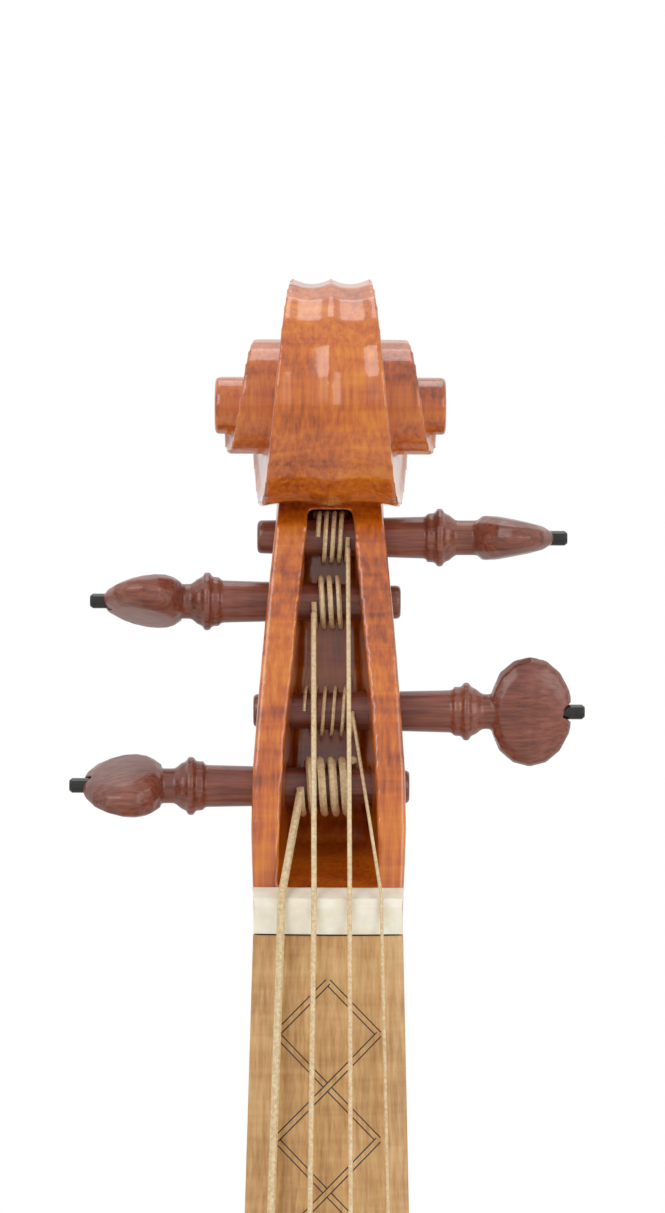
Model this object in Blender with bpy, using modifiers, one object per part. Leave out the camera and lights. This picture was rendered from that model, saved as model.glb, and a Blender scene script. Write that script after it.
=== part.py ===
"""Baroque violin at real size, in metres, with Z up.

The violin hangs upright: scroll on top, belly facing -Y, bass side at -X. Every piece is modelled
in the neck's own frame: x across, y backwards from the neck's flat face, z upwards from the
pegbox edge of the nut. One empty carries all pieces and puts the world's origin in the throat
of the pegbox, under the scroll, where a hanger holds the violin.
"""

import math

import bmesh
import bpy
from mathutils import Matrix, Vector
from mathutils.bvhtree import BVHTree
from mathutils.geometry import interpolate_bezier, intersect_line_line_2d

MM = 0.001

# Clearances
SEAT_GAP = 0.3 * MM
PEG_HOLE_GAP = 0.25 * MM
STRING_CLEARANCE = 0.35 * MM

# Hanging point, from the nut line on the neck's flat face
HANG_RISE = 64 * MM
HANG_DEPTH = 21 * MM

# Body
BODY_LENGTH = 355 * MM
BODY_STOP = 195 * MM
UPPER_BOUT = 167 * MM
WAIST = 110 * MM
LOWER_BOUT = 206 * MM
RIB_HEIGHT = 31 * MM
RIB_THICKNESS = 1.2 * MM
OVERHANG = 2.6 * MM
EDGE_THICKNESS = 4 * MM
EDGE_MARGIN = 8 * MM
BELLY_ARCH = 15.5 * MM
BELLY_THICKNESS = 2.9 * MM
BACK_ARCH = 15 * MM
BACK_THICKNESS = 3.4 * MM
BUTTON_RADIUS = 11 * MM
BUTTON_REACH = 12.5 * MM
LINING_WIDTH = 2 * MM
LINING_HEIGHT = 7 * MM
TOP_BLOCK_WIDTH = 52 * MM
TOP_BLOCK_LENGTH = 17 * MM
BOTTOM_BLOCK_WIDTH = 46 * MM
BOTTOM_BLOCK_LENGTH = 16 * MM
CORNER_BLOCK_REACH = 24 * MM
BASS_BAR_LENGTH = 258 * MM
BASS_BAR_WIDTH = 5.5 * MM
BASS_BAR_HEIGHT = 9.5 * MM
BASS_BAR_OFFSET = 15.5 * MM
SOUND_POST_RADIUS = 3.1 * MM
SOUND_POST_OFFSET = 19 * MM
SOUND_POST_SETBACK = 7 * MM
F_HOLE_UPPER_EYE = 3.3 * MM
F_HOLE_LOWER_EYE = 4.6 * MM
F_HOLE_SLOT = 6.4 * MM
F_HOLE_SLOT_END = 2 * MM

# Neck and fingerboard
NECK_STOP = 128 * MM
NUT_LENGTH = 7.85 * MM
NUT_HEIGHT = 6.3 * MM
NECK_HALF_WIDTH = 12.95 * MM
NECK_FLARE = 0.0245
NECK_DEPTH = 14.2 * MM
NECK_SWELL = 2.3 * MM
HEEL_LENGTH = 26 * MM
HEEL_HALF_WIDTH = 11.5 * MM
BOARD_LENGTH = 215 * MM
BOARD_RADIUS = 42 * MM
BOARD_HEIGHT_AT_NUT = 5.2 * MM
BOARD_HEIGHT_AT_END = 26.8 * MM
BOARD_VENEER = 1.5 * MM
BOARD_END_THICKNESS = 8 * MM
NAIL_RADIUS = 1.3 * MM
NAIL_HEAD_RADIUS = 2.8 * MM
NAIL_HEAD_HEIGHT = 1.4 * MM
NAIL_LENGTH = 34 * MM
NAIL_SPACING = 7.5 * MM

# Head
HEAD_HEIGHT = 106 * MM
EYE_HEIGHT = 83.5 * MM
EYE_SETBACK = 12 * MM
HEAD_CHAMFER = 0.45 * MM
FLUTE_DEPTH = 0.9 * MM
PEGBOX_WALL = 4.6 * MM
SIDE_HOLLOW = 1.2 * MM

# Pegs
PEG_RADIUS_AT_CHEEK = 3.55 * MM
PEG_RADIUS_AT_END = 2.95 * MM
PEG_NECK_RADIUS = 3.1 * MM
PEG_RING_RADIUS = 4.35 * MM
PEG_FLANGE_RADIUS = 5.15 * MM
PEG_HEAD_LENGTH = 15.2 * MM
PEG_HEAD_WIDTH = 19.6 * MM
PEG_HEAD_THICKNESS = 9.5 * MM
PEG_HEAD_TIP = 3.6 * MM
PIP_RADIUS = 1.3 * MM
PIP_PROUD = 2 * MM
PIP_DEPTH = 3 * MM

# Bridge, tailpiece, saddle and end button
BRIDGE_HEIGHT = 28 * MM
BRIDGE_WIDTH = 41 * MM
BRIDGE_TOP_RADIUS = 42 * MM
BRIDGE_FOOT_THICKNESS = 4.4 * MM
BRIDGE_TOP_THICKNESS = 1.6 * MM
TAILPIECE_LENGTH = 104 * MM
TAILPIECE_UPPER_WIDTH = 42 * MM
TAILPIECE_LOWER_WIDTH = 19 * MM
TAILPIECE_THICKNESS = 4.2 * MM
AFTERLENGTH = 52 * MM
SADDLE_WIDTH = 34 * MM
SADDLE_LENGTH = 7 * MM
SADDLE_HEIGHT = 4.5 * MM
TAILGUT_RADIUS = 0.95 * MM
BUTTON_HEAD_RADIUS = 6.6 * MM
BUTTON_FACE_RADIUS = 4.6 * MM
BUTTON_SHANK_RADIUS = 3.8 * MM

# Places that follow from the sizes above
BODY_TOP = -(NUT_LENGTH + NECK_STOP)
BODY_BOTTOM = BODY_TOP - BODY_LENGTH
BRIDGE_Z = BODY_TOP - BODY_STOP
RIB_FRONT = EDGE_THICKNESS + SEAT_GAP
RIB_BACK = RIB_FRONT + RIB_HEIGHT
BACK_INNER = RIB_BACK + SEAT_GAP
BACK_EDGE = BACK_INNER + EDGE_THICKNESS
BOARD_TOP_Z = -NUT_LENGTH - SEAT_GAP

# Colours as linear red, green, blue; then roughness and metallic value
VARNISHED_MAPLE = ((0.60, 0.19, 0.025), 0.25, 0.0)
VARNISHED_SPRUCE = ((0.68, 0.26, 0.04), 0.3, 0.0)
BARE_SPRUCE = ((0.72, 0.52, 0.29), 0.6, 0.0)
BOARD_MAPLE = ((0.55, 0.31, 0.11), 0.4, 0.0)
FRUITWOOD = ((0.28, 0.09, 0.05), 0.35, 0.0)
EBONY = ((0.012, 0.010, 0.009), 0.3, 0.0)
BONE = ((0.88, 0.83, 0.69), 0.3, 0.0)
GUT = ((0.62, 0.47, 0.27), 0.45, 0.0)
IRON = ((0.12, 0.11, 0.10), 0.5, 1.0)
BRIDGE_MAPLE = ((0.60, 0.38, 0.17), 0.5, 0.0)


class StringSize:
    """One gut string: its radius and where it crosses nut, bridge and peg."""

    def __init__(self, name, radius, nut_x, bridge_x, peg_x, far_x, turns):
        self.name = name
        self.radius = radius
        self.nut_x = nut_x
        self.bridge_x = bridge_x
        self.peg_x = peg_x
        self.far_x = far_x
        self.turns = turns


class PegSize:
    """One peg: its axis, the side its head is on, and the places along it from the middle."""

    def __init__(self, string, side, height, depth, cheek, ring, head, far_end, turned):
        self.string = string
        self.side = side
        self.height = height
        self.depth = depth
        self.cheek = cheek
        self.ring = ring
        self.head = head
        self.far_end = far_end
        self.turned = math.radians(turned)


STRING_G = StringSize("g", 0.72 * MM, -8.1 * MM, -17.5 * MM, -5.0 * MM, 4.2 * MM, 4.75)
STRING_D = StringSize("d", 0.48 * MM, -2.45 * MM, -5.3 * MM, -2.8 * MM, 2.4 * MM, 3.5)
STRING_A = StringSize("a", 0.41 * MM, 3.7 * MM, 6.2 * MM, 3.2 * MM, -2.1 * MM, 4)
STRING_E = StringSize("e", 0.31 * MM, 9.2 * MM, 17.5 * MM, 4.2 * MM, -4.4 * MM, 5)

PEGS = [
    PegSize(STRING_G, -1, 17.1 * MM, 12.5 * MM, 13.3 * MM, 21.9 * MM, 28.2 * MM, 14.1 * MM, 68),
    PegSize(STRING_D, -1, 49.4 * MM, 17.5 * MM, 10.9 * MM, 19.3 * MM, 24.9 * MM, 12.5 * MM, 104),
    PegSize(STRING_A, 1, 60.8 * MM, 19.4 * MM, 9.9 * MM, 17.1 * MM, 24.6 * MM, 12.8 * MM, 90),
    PegSize(STRING_E, 1, 30.3 * MM, 14.5 * MM, 12.5 * MM, 21.8 * MM, 27.6 * MM, 13.3 * MM, 8),
]


def clear_scene():
    """Remove the objects and meshes that a new scene starts with."""
    for obj in list(bpy.data.objects):
        bpy.data.objects.remove(obj, do_unlink=True)


def new_collection(name):
    """A collection of that name in the scene."""
    collection = bpy.data.collections.new(name)
    bpy.context.scene.collection.children.link(collection)
    return collection


clear_scene()
VIOLIN = new_collection("violin")
CUTTERS = new_collection("cutters")
NECK_FRAME = bpy.data.objects.new("neck_frame", None)
VIOLIN.objects.link(NECK_FRAME)
NECK_FRAME.location = (0, -HANG_DEPTH, -HANG_RISE)


def make_material(name, finish):
    """A Principled material from a colour, a roughness and a metallic value."""
    colour, roughness, metallic = finish
    material = bpy.data.materials.new(name)
    material.use_nodes = True
    shader = material.node_tree.nodes["Principled BSDF"]
    shader.inputs["Base Color"].default_value = (*colour, 1.0)
    shader.inputs["Roughness"].default_value = roughness
    shader.inputs["Metallic"].default_value = metallic
    return material


def add_piece(name, mesh, finish, parent=NECK_FRAME):
    """A named part with its own material, carried by the neck's frame."""
    obj = bpy.data.objects.new(name, mesh)
    VIOLIN.objects.link(obj)
    obj.parent = parent
    mesh.materials.clear()
    mesh.materials.append(make_material(name, finish))
    mesh.shade_smooth()
    mesh.set_sharp_from_angle(angle=math.radians(32))
    return obj


def add_cutter(name, mesh):
    """A hidden solid, in the neck's frame, that only cuts or joins other pieces."""
    obj = bpy.data.objects.new(name, mesh)
    CUTTERS.objects.link(obj)
    obj.parent = NECK_FRAME
    obj.hide_render = True
    obj.display_type = "WIRE"
    return obj


def apply_boolean(obj, other, operation="DIFFERENCE"):
    """Cut or join one piece by another with an exact Boolean that stays on the object."""
    modifier = obj.modifiers.new(other.name, "BOOLEAN")
    modifier.object = other
    modifier.operation = operation
    modifier.solver = "EXACT"
    return modifier


def finish_bmesh(mesh_name, mesh_data):
    """Turn a bmesh into a mesh with its faces pointing outwards."""
    bmesh.ops.recalc_face_normals(mesh_data, faces=mesh_data.faces)
    mesh = bpy.data.meshes.new(mesh_name)
    mesh_data.to_mesh(mesh)
    mesh_data.free()
    return mesh


def loft_mesh(name, rings, closed_ring=True, caps=True):
    """Skin a list of rings, each with as many points, into one closed solid."""
    mesh_data = bmesh.new()
    rows = [[mesh_data.verts.new(point) for point in ring] for ring in rings]
    count = len(rings[0])
    spans = count if closed_ring else count - 1
    for row, following in zip(rows, rows[1:]):
        for k in range(spans):
            after = (k + 1) % count
            mesh_data.faces.new((row[k], row[after], following[after], following[k]))
    if caps:
        mesh_data.faces.new(rows[0])
        mesh_data.faces.new(rows[-1])
    bmesh.ops.remove_doubles(mesh_data, verts=mesh_data.verts, dist=0.00001)
    return finish_bmesh(name, mesh_data)


def flat_mesh(name, outlines, y_front, y_back):
    """A flat piece: closed outlines of (x, z) points, filled, and thick from front to back."""
    curve = bpy.data.curves.new(name, "CURVE")
    curve.dimensions = "2D"
    curve.fill_mode = "BOTH"
    curve.extrude = (y_back - y_front) / 2
    for outline in outlines:
        spline = curve.splines.new("POLY")
        spline.points.add(len(outline) - 1)
        for point, (x, z) in zip(spline.points, outline):
            point.co = (x, z, 0, 1)
        spline.use_cyclic_u = True
    turn = Matrix.Rotation(math.pi / 2, 4, "X")
    place = Matrix.Translation((0, (y_front + y_back) / 2, 0)) @ turn
    return curve_to_mesh(name, curve, place)


def curve_to_mesh(name, curve, place=Matrix.Identity(4)):
    """Make a curve a closed mesh: its loose caps are welded on."""
    holder = bpy.data.objects.new(name, curve)
    CUTTERS.objects.link(holder)
    depsgraph = bpy.context.evaluated_depsgraph_get()
    mesh = bpy.data.meshes.new_from_object(holder.evaluated_get(depsgraph))
    bpy.data.objects.remove(holder, do_unlink=True)
    mesh_data = bmesh.new()
    mesh_data.from_mesh(mesh)
    bmesh.ops.transform(mesh_data, matrix=place, verts=mesh_data.verts)
    bmesh.ops.remove_doubles(mesh_data, verts=mesh_data.verts, dist=0.00001)
    bmesh.ops.recalc_face_normals(mesh_data, faces=mesh_data.faces)
    mesh_data.to_mesh(mesh)
    mesh_data.free()
    mesh.name = name
    return mesh


def tube_mesh(name, points, radius, resolution=2):
    """A cord: a round tube along its points, with filled caps."""
    curve = bpy.data.curves.new(name, "CURVE")
    curve.dimensions = "3D"
    curve.bevel_depth = radius
    curve.bevel_resolution = resolution
    curve.use_fill_caps = True
    spline = curve.splines.new("POLY")
    spline.points.add(len(points) - 1)
    for point, place in zip(spline.points, points):
        point.co = (*place, 1)
    return curve_to_mesh(name, curve)


def cylinder_mesh(name, radius, start, end, end_radius=None, sides=24):
    """A round bar or cone between two points."""
    start, end = Vector(start), Vector(end)
    run = end - start
    mesh_data = bmesh.new()
    bmesh.ops.create_cone(
        mesh_data,
        cap_ends=True,
        segments=sides,
        radius1=radius,
        radius2=radius if end_radius is None else end_radius,
        depth=run.length,
    )
    turn = run.to_track_quat("Z", "Y").to_matrix().to_4x4()
    place = Matrix.Translation((start + end) / 2) @ turn
    bmesh.ops.transform(mesh_data, matrix=place, verts=mesh_data.verts)
    return finish_bmesh(name, mesh_data)


def turned_object(name, profile, finish, steps=24, parent=NECK_FRAME):
    """A turned piece: a profile of (radius, height) from top to bottom, spun about Z."""
    mesh = bpy.data.meshes.new(name)
    points = [(radius, 0, height) for radius, height in profile]
    edges = [(k, k + 1) for k in range(len(points) - 1)]
    mesh.from_pydata(points, edges, [])
    obj = add_piece(name, mesh, finish, parent)
    screw = obj.modifiers.new("turn", "SCREW")
    screw.steps = steps
    screw.render_steps = steps
    screw.use_merge_vertices = True
    screw.merge_threshold = 0.00001
    return obj


def settled_mesh(obj, name):
    """The mesh of an object with its modifiers applied, in the object's own space."""
    depsgraph = bpy.context.evaluated_depsgraph_get()
    mesh = bpy.data.meshes.new_from_object(obj.evaluated_get(depsgraph))
    mesh.name = name
    return mesh


def bezier_run(anchors, counts):
    """Points along cubic curves given as (start, handle, handle, end) with shared ends."""
    run = []
    for (start, first, second, end), count in zip(anchors, counts):
        points = interpolate_bezier(
            Vector((*start, 0)), Vector((*first, 0)), Vector((*second, 0)), Vector((*end, 0)), count
        )
        run += [(p.x, p.y) for p in (points if not run else points[1:])]
    return run


def body_bouts():
    """The plates' edge on the right: upper, centre and lower bout, as (x, distance down)."""
    upper, waist, lower = UPPER_BOUT / 2, WAIST / 2, LOWER_BOUT / 2
    length = BODY_LENGTH
    top_corner = (0.925 * upper, 0.360 * length)
    low_corner = (0.905 * lower, 0.612 * length)
    widest_up, narrowest, widest_low = 0.20 * length, 0.48 * length, 0.80 * length
    upper_bout = bezier_run(
        [
            ((0, 0), (0.68 * upper, 0), (upper, 0.38 * widest_up), (upper, widest_up)),
            ((upper, widest_up), (upper, 0.274 * length), (0.833 * upper, 0.316 * length), top_corner),
        ],
        [9, 7],
    )
    centre_bout = bezier_run(
        [
            (top_corner, (1.2 * waist, top_corner[1] + 0.002 * length), (waist, 0.389 * length),
             (waist, narrowest)),
            ((waist, narrowest), (waist, 0.552 * length), (1.345 * waist, low_corner[1] - 0.002 * length),
             low_corner),
        ],
        [7, 7],
    )
    lower_bout = bezier_run(
        [
            (low_corner, (0.82 * lower, 0.648 * length), (lower, 0.71 * length), (lower, widest_low)),
            ((lower, widest_low), (lower, 0.915 * length), (0.64 * lower, length), (0, length)),
        ],
        [7, 9],
    )
    return upper_bout, centre_bout, lower_bout


UPPER, CENTRE, LOWER = body_bouts()
HALF_OUTLINE = UPPER + CENTRE[1:] + LOWER[1:]


def inset(line, distance):
    """Move a line of the right half inwards; its first or last point on the middle stays there."""
    moved = []
    for k, (x, down) in enumerate(line):
        before = Vector(line[max(k - 1, 0)])
        after = Vector(line[min(k + 1, len(line) - 1)])
        along = (after - before).normalized()
        moved.append((x - distance * along.y, down + distance * along.x))
    return moved


def cut_at(line, other):
    """The part of a line before it crosses the other line."""
    for k in range(len(line) - 1):
        for a, b in zip(other, other[1:]):
            crossing = intersect_line_line_2d(line[k], line[k + 1], a, b)
            if crossing is not None:
                return line[: k + 1] + [tuple(crossing)]
    return line


def placed(line, mirror=False):
    """Turn (x, distance down) into (x, z) in the neck's frame."""
    side = -1 if mirror else 1
    return [(side * x, BODY_TOP - down) for x, down in line]


def arch_half_width(down):
    """Half the width of the arched area, which leaves the corners flat."""
    upper, waist, lower = UPPER_BOUT / 2, WAIST / 2, LOWER_BOUT / 2
    widest_up, narrowest, widest_low = (share * BODY_LENGTH for share in (0.20, 0.48, 0.80))
    if widest_up < down <= narrowest:
        blend = (1 + math.cos(math.pi * (down - widest_up) / (narrowest - widest_up))) / 2
        return waist + (upper - waist) * blend
    if narrowest < down < widest_low:
        blend = (1 - math.cos(math.pi * (down - narrowest) / (widest_low - narrowest))) / 2
        return waist + (lower - waist) * blend
    return lower if down >= widest_low else upper


def arching(x, half_width, down):
    """Height of the arch as a share of its full height."""
    flat = 5 * MM
    reach = min(half_width, arch_half_width(down)) - flat
    run = (down - flat) / (BODY_LENGTH - 2 * flat)
    if reach <= 0 or not 0 < run < 1:
        return 0.0
    across = min(1.0, abs(x) / reach)
    return math.sin(math.pi * run) ** 0.8 * (1 + math.cos(math.pi * across)) / 2


def plate_mesh(name, edge_y, outward, arch, thickness):
    """An arched plate: rows follow the outline, columns run across, flat where it is glued."""
    inner_columns = 5
    outer_rows, inner_rows = [], []
    for half_width, down in HALF_OUTLINE:
        flat_end = max(0.0, half_width - EDGE_MARGIN)
        steps = [flat_end * k / inner_columns for k in range(inner_columns + 1)]
        xs = [-half_width] + [-s for s in reversed(steps)] + steps[1:] + [half_width]
        near_end = min(down, BODY_LENGTH - down) < EDGE_MARGIN + 2 * MM
        z = BODY_TOP - down
        outer, inner = [], []
        for x in xs:
            rise = arch * arching(x, half_width, down)
            flat = near_end or abs(x) > flat_end - 0.5 * MM
            depth = EDGE_THICKNESS if flat else thickness - rise
            outer.append((x, edge_y + outward * rise, z))
            inner.append((x, edge_y - outward * min(depth, EDGE_THICKNESS), z))
        outer_rows.append(outer)
        inner_rows.append(inner)
    rings = [outer + inner[::-1] for outer, inner in zip(outer_rows, inner_rows)]
    return loft_mesh(name, rings)


def f_hole_cutters():
    """Both f-holes: two round eyes and a curved slot each, through the belly."""
    top_eye = (24 * MM, BODY_STOP - 29 * MM)
    low_eye = (59 * MM, BODY_STOP + 29 * MM)
    spine = bezier_run(
        [
            ((25 * MM, BODY_STOP - 31 * MM), (36 * MM, BODY_STOP - 38 * MM),
             (38 * MM, BODY_STOP - 18 * MM), (42 * MM, BODY_STOP)),
            ((42 * MM, BODY_STOP), (46 * MM, BODY_STOP + 18 * MM),
             (48 * MM, BODY_STOP + 38 * MM), (58 * MM, BODY_STOP + 32 * MM)),
        ],
        [9, 9],
    )
    last = len(spine) - 1
    left, right = [], []
    for k, (x, down) in enumerate(spine):
        half = (F_HOLE_SLOT_END + (F_HOLE_SLOT - F_HOLE_SLOT_END) * math.sin(math.pi * k / last)) / 2
        before, after = Vector(spine[max(k - 1, 0)]), Vector(spine[min(k + 1, last)])
        along = (after - before).normalized()
        left.append((x - half * along.y, down + half * along.x))
        right.append((x + half * along.y, down - half * along.x))
    cutters = []
    for mirror in (False, True):
        side = -1 if mirror else 1
        tag = "bass" if mirror else "treble"
        slot = flat_mesh("f_slot", [placed(left + right[::-1], mirror)], -30 * MM, 10 * MM)
        cutters.append(add_cutter("f_slot_" + tag, slot))
        for word, (x, down), radius in (
            ("upper", top_eye, F_HOLE_UPPER_EYE), ("lower", low_eye, F_HOLE_LOWER_EYE),
        ):
            z = BODY_TOP - down
            eye = cylinder_mesh("f_eye", radius, (side * x, -30 * MM, z), (side * x, 10 * MM, z))
            cutters.append(add_cutter(f"f_eye_{word}_{tag}", eye))
    return cutters


def rib_lines(distance):
    """The three bouts moved in by a distance, each cut where the outer bouts stop them."""
    return inset(UPPER, distance), inset(CENTRE, distance), inset(LOWER, distance)


def trim_middle(line):
    """Keep the half of an upper or lower bout that stays a seat's gap clear of the middle."""
    return [(max(x, SEAT_GAP / 2), down) for x, down in line if x > -SEAT_GAP]


def strip_outline(bout, near, far, outer_stop, inner_stop):
    """Outline of a strip between two insets of one bout, stopped at its corners."""
    lines = []
    for distance in (near, far):
        upper, centre, lower = rib_lines(distance)
        if bout == "upper":
            lines.append(trim_middle(cut_at(upper, inset(CENTRE, outer_stop))))
        elif bout == "lower":
            lines.append(trim_middle(cut_at(lower[::-1], inset(CENTRE, outer_stop)[::-1])))
        else:
            middle = len(centre) // 2
            above = cut_at(centre[middle::-1], inset(UPPER, inner_stop))[::-1]
            below = cut_at(centre[middle:], inset(LOWER, inner_stop))
            lines.append(above + below[1:])
    return lines[0] + lines[1][::-1]


# Scroll: angle round the eye from its top over the front, in degrees, with radius and half-width
SCROLL_STEP = 15
SCROLL_START = -150
EYE_START = 720
EYE_END = 1080
SCROLL_RADII = [
    (-150, 35.2), (-140, 29.0), (-130, 26.0), (-120, 24.4), (-90, 23.0), (0, 22.5), (90, 20.0),
    (180, 17.6), (270, 14.5), (360, 11.8), (450, 10.0), (540, 8.3), (630, 6.6), (720, 5.2), (1080, 4.5),
]
SCROLL_HALF_WIDTHS = [
    (-150, 10.3), (-120, 9.3), (-90, 8.5), (-45, 7.5), (0, 7.1), (45, 8.4), (90, 9.85), (180, 12.6),
    (250, 14.1), (300, 14.0), (360, 13.7), (450, 16.0), (540, 18.3), (630, 19.5), (720, 20.2),
    (1080, 20.25),
]
BAND_SHARES = (0.0, 0.22, 0.45, 0.68, 1.0)

# Pegbox and neck sections: back and front as (depth, height), half-widths at back and front
PEGBOX_SECTIONS = [
    ((29.4, 47.5), (13.0, 63.0), 10.9, 9.6),
    ((29.2, 42.0), (11.0, 57.0), 11.3, 10.2),
    ((29.1, 35.0), (8.3, 49.0), 12.0, 11.0),
    ((29.0, 28.0), (5.4, 39.5), 12.6, 11.8),
    ((28.8, 21.5), (3.2, 30.0), 13.0, 12.55),
    ((28.2, 14.5), (1.5, 20.0), 13.3, 13.25),
    ((26.8, 8.0), (0.6, 10.0), 13.3, 13.45),
    ((24.0, 2.5), (0.15, 3.5), 12.8, 13.25),
    ((20.5, -1.5), (0.0, 0.0), 11.8, 13.1),
]
CAVITY_SECTIONS = [
    (0.0, 0.0, 0.8, 9.1, 8.8), (3.2, 3.0, 10.0, 8.9, 7.6), (7.0, 7.0, 20.5, 8.7, 6.8),
    (15.3, 15.3, 23.2, 8.45, 6.3), (25.6, 25.6, 24.0, 7.95, 6.0), (46.3, 46.3, 24.6, 6.2, 4.75),
    (58.0, 60.0, 25.0, 4.9, 4.0), (64.4, 66.2, 24.6, 4.1, 3.8),
]


def between(table, at):
    """A value read from a table of (place, value) pairs, smoothly between its rows."""
    if at <= table[0][0]:
        return table[0][1]
    for (low, first), (high, second) in zip(table, table[1:]):
        if at <= high:
            share = (at - low) / (high - low)
            return first + (second - first) * share
    return table[-1][1]


def smooth_between(table, at, reach):
    """The same table averaged over a short reach, so its corners are round."""
    samples = 7
    offsets = [reach * (2 * k / (samples - 1) - 1) for k in range(samples)]
    return sum(between(table, at + offset) for offset in offsets) / samples


def scroll_point(angle, radius, half_width):
    """A point of the right half of the scroll, in millimetres round the eye."""
    turn = math.radians(angle)
    depth = EYE_SETBACK / MM - radius * math.sin(turn)
    height = EYE_HEIGHT / MM + radius * math.cos(turn)
    return (half_width * MM, depth * MM, height * MM)


def band_points(angle):
    """Front band of a turn: centre ridge, flute and edge, then the inner end of its chamfer."""
    radius = smooth_between(SCROLL_RADII, angle, 12)
    half = smooth_between(SCROLL_HALF_WIDTHS, angle, 12)
    chamfer, flute = HEAD_CHAMFER / MM, FLUTE_DEPTH / MM
    points = []
    for share in BAND_SHARES:
        dip = flute * math.sin(math.pi * share) ** 0.8 if 0 < share < 1 else 0.0
        points.append(scroll_point(angle, radius - dip, share * (half - chamfer)))
    points.append(scroll_point(angle, radius - chamfer, half))
    return points


def wall_base(angle):
    """Foot of the wall that a turn raises from the turn outside it."""
    radius = smooth_between(SCROLL_RADII, angle, 12)
    outside = smooth_between(SCROLL_HALF_WIDTHS, angle - 360, 12)
    return scroll_point(angle, radius, outside - SIDE_HOLLOW / MM)


def side_points(angle):
    """Hollow side of a turn, from its chamfer to the foot of the next wall."""
    outer = smooth_between(SCROLL_RADII, angle, 12) - HEAD_CHAMFER / MM
    inner = smooth_between(SCROLL_RADII, angle + 360, 12)
    half = smooth_between(SCROLL_HALF_WIDTHS, angle, 12)
    hollow = SIDE_HOLLOW / MM
    return [
        scroll_point(angle, outer + (inner - outer) * 0.3, half - 0.75 * hollow),
        scroll_point(angle, outer + (inner - outer) * 0.7, half - 1.1 * hollow),
    ]


def section_points(back, front, half_back, half_front, flute):
    """Half a pegbox section: fluted back, flat side, chamfer and flat front."""
    back, front = Vector(back) * MM, Vector(front) * MM
    half_back, half_front = half_back * MM, half_front * MM
    across = (front - back).normalized()
    points = []
    for share in BAND_SHARES:
        dip = flute * math.sin(math.pi * share) ** 0.8 if 0 < share < 1 else 0.0
        place = back + across * dip
        points.append((share * (half_back - HEAD_CHAMFER), place.x, place.y))
    for share, half, inward in (
        (0.0, half_back, HEAD_CHAMFER), (0.35, None, 0.0), (1.0, half_front, -HEAD_CHAMFER),
    ):
        place = back.lerp(front, share) + across * inward
        width = half if half is not None else half_back + (half_front - half_back) * share
        points.append((width, place.x, place.y))
    for share in (0.96, 0.6, 0.3, 0.0):
        points.append((share * half_front, front.x, front.y))
    return points


def neck_points(height, depth, half_width):
    """Half a neck section: round back and flat front."""
    points = []
    for k in range(8):
        turn = math.pi / 2 * k / 7
        points.append((half_width * math.sin(turn), depth * math.cos(turn) ** 0.85 + 0.4 * MM, height))
    for share in (0.985, 0.6, 0.3, 0.0):
        points.append((share * half_width, 0.0, height))
    return points


def neck_half_width(z):
    """Half the neck's and fingerboard's width at a height below the nut."""
    return NECK_HALF_WIDTH + NECK_FLARE * max(0.0, -NUT_LENGTH - z)


def head_mesh():
    """Right half of scroll, pegbox and neck as one skin, open at the middle plane."""
    columns = range(SCROLL_START, EYE_END + 1, SCROLL_STEP)
    turn = 360 // SCROLL_STEP
    first_eye = (EYE_START - SCROLL_START) // SCROLL_STEP
    mesh_data = bmesh.new()

    def add(points):
        return [mesh_data.verts.new(point) for point in points]

    bands, bases = [], []
    for k, angle in enumerate(columns):
        points = band_points(angle)
        if k <= turn:
            band = add(points)
            bases.append(band[3] if k == turn else None)
        else:
            band = [None] * 4 + add(points[4:])
            bases.append(add([wall_base(angle)])[0])
        bands.append(band)
    sides = [add(side_points(angle)) for angle in columns[: first_eye + 1]]

    def strip(first, second):
        for a, b, c, d in zip(first, first[1:], second[1:], second):
            mesh_data.faces.new((a, b, c, d))

    last = len(columns) - 1
    for k in range(last):
        if k < turn:
            strip(bands[k], bands[k + 1])
        else:
            strip([bases[k], *bands[k][4:]], [bases[k + 1], *bands[k + 1][4:]])
        if k < first_eye:
            strip([bands[k][5], *sides[k], bases[k + turn]],
                  [bands[k + 1][5], *sides[k + 1], bases[k + 1 + turn]])
    mesh_data.faces.new(
        (bands[first_eye][5], *sides[first_eye], bases[last], bands[last][4], bands[last][5])
    )
    tip = add([scroll_point(0, 0, 20.25)])[0]
    for k in range(first_eye, last):
        mesh_data.faces.new((bands[k][5], bands[k + 1][5], tip))
    mesh_data.faces.new((bands[last][5], bands[first_eye][5], tip))

    throat = bands[turn]
    ring = [*bands[0], *sides[0], throat[3], throat[2], throat[1], throat[0]]
    flute_fade = len(PEGBOX_SECTIONS) - 1
    sections = [
        section_points(*section, FLUTE_DEPTH * (1 - k / flute_fade))
        for k, section in enumerate(PEGBOX_SECTIONS)
    ]
    heel_depth = BACK_INNER - SEAT_GAP
    heel_top = BODY_TOP + HEEL_LENGTH
    for height, depth in (
        (-5 * MM, 16.5 * MM), (-10 * MM, NECK_DEPTH), (-16 * MM, NECK_DEPTH - 0.5 * MM),
        (heel_top / 2, NECK_DEPTH + NECK_SWELL / 2), (heel_top, NECK_DEPTH + NECK_SWELL),
    ):
        sections.append(neck_points(height, depth, neck_half_width(height)))
    for share in (0.3, 0.55, 0.8, 1.0):
        height = heel_top + (BODY_TOP - OVERHANG - heel_top) * share
        depth = NECK_DEPTH + NECK_SWELL + (heel_depth - NECK_DEPTH - NECK_SWELL) * share ** 1.6
        sections.append(neck_points(height, depth - 0.4 * MM, neck_half_width(height)))
    for section in sections:
        following = add(section)
        strip(ring, following)
        ring = following
    mesh_data.faces.new(ring)
    mesh = finish_bmesh("neck_and_head", mesh_data)
    return mesh


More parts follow.
